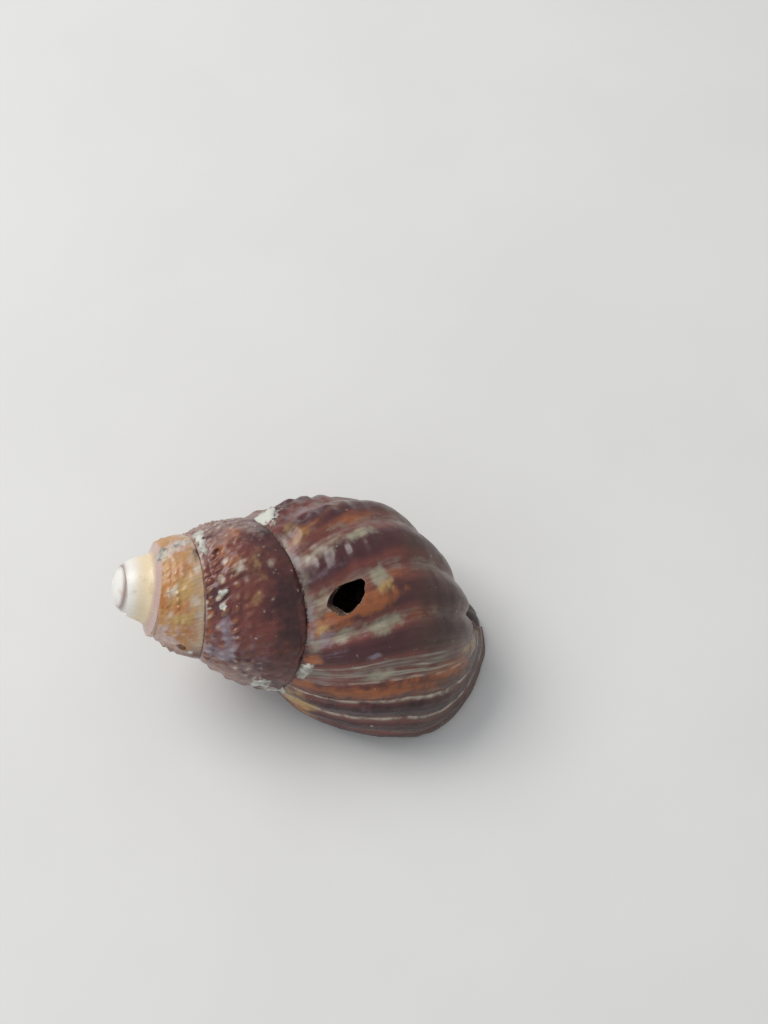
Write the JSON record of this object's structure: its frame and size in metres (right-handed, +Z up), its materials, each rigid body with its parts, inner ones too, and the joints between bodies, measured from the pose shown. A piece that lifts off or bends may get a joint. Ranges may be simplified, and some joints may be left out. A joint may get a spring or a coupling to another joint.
{
  "type": "mud snail shell",
  "caption": "Worn right-handed spiral sea snail shell lying mouth down, with growth ribs, a beaded spire, a blunt tip and a small hole bored through its back.",
  "frame": {"origin": "under the middle of the bounding box, on the surface the shell rests on", "axes": "+Z up; the shell lies mouth down with its apex towards -X and its outer lip towards -Y; +X is the long way of the box"},
  "size_m": [0.0234, 0.0154, 0.0128],
  "materials": {
    "shell": "worn, semi-glossy shell"
  },
  "bodies": {
    "root": {"shell": "shell"}
  },
  "joints": []
}
